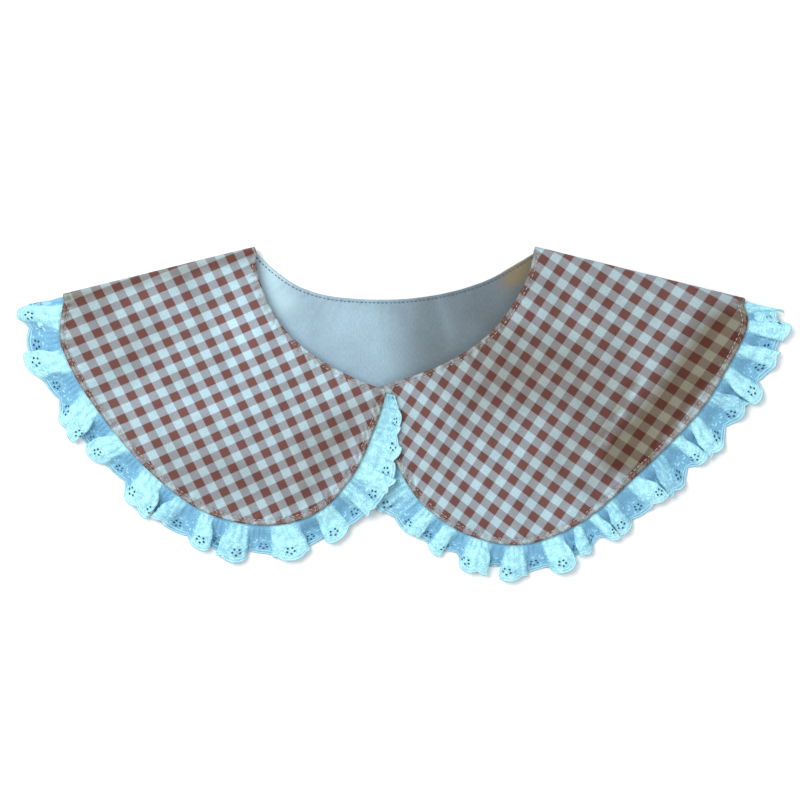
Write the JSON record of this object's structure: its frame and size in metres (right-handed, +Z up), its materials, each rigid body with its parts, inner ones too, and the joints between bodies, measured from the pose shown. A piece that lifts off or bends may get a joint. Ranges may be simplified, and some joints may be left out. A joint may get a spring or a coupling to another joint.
{
  "type": "detachable collar",
  "caption": "Flat round-lobed detachable neck collar with a lining and a gathered eyelet-lace ruffle, folded at the shoulders.",
  "frame": {"origin": "flat underside of the back panel, half way down its centre line", "axes": "+Z up from the surface it lies on, +Y towards the neck edge of the back panel, +X along the collar towards the right-hand lobe as seen from above"},
  "size_m": [0.4208, 0.1857, 0.0132],
  "materials": {
    "gingham": "matt woven cotton check in brown and cream",
    "lining": "matt plain cotton",
    "lace": "white cotton eyelet embroidery, slight sheen",
    "stud": "plain plated metal"
  },
  "bodies": {
    "root": {"gingham_shell": "gingham", "lining": "lining", "lace_ruffle": "lace", "snap_fastener": "stud"}
  },
  "joints": []
}
